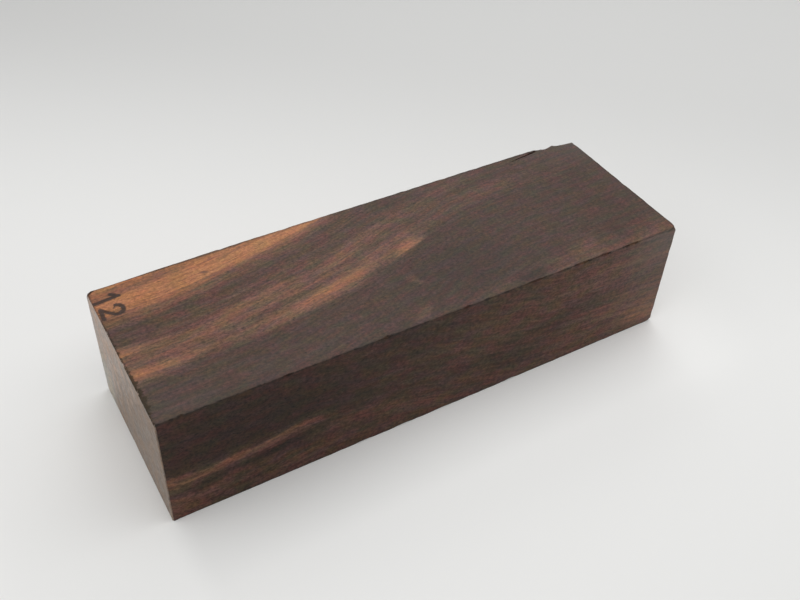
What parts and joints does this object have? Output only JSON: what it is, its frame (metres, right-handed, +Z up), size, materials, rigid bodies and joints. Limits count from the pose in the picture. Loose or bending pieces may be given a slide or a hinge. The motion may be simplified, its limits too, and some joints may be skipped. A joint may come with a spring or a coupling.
{
  "type": "ironwood block",
  "caption": "Squared hardwood block with dark streaked grain, sharp lightly chipped edges, worn corners and a torn splinter on one edge.",
  "frame": {"origin": "middle of the underside", "axes": "+X along the grain towards the end with the torn edge, -Y out of the long face seen in the picture, +Z up out of the wide face with the inked number"},
  "size_m": [0.13, 0.0426, 0.0306],
  "materials": {
    "ironwood": "fine-sanded dense dark brown heartwood with orange-brown streaks and a low sheen"
  },
  "bodies": {
    "root": {"ironwood_block": "ironwood"}
  },
  "joints": []
}
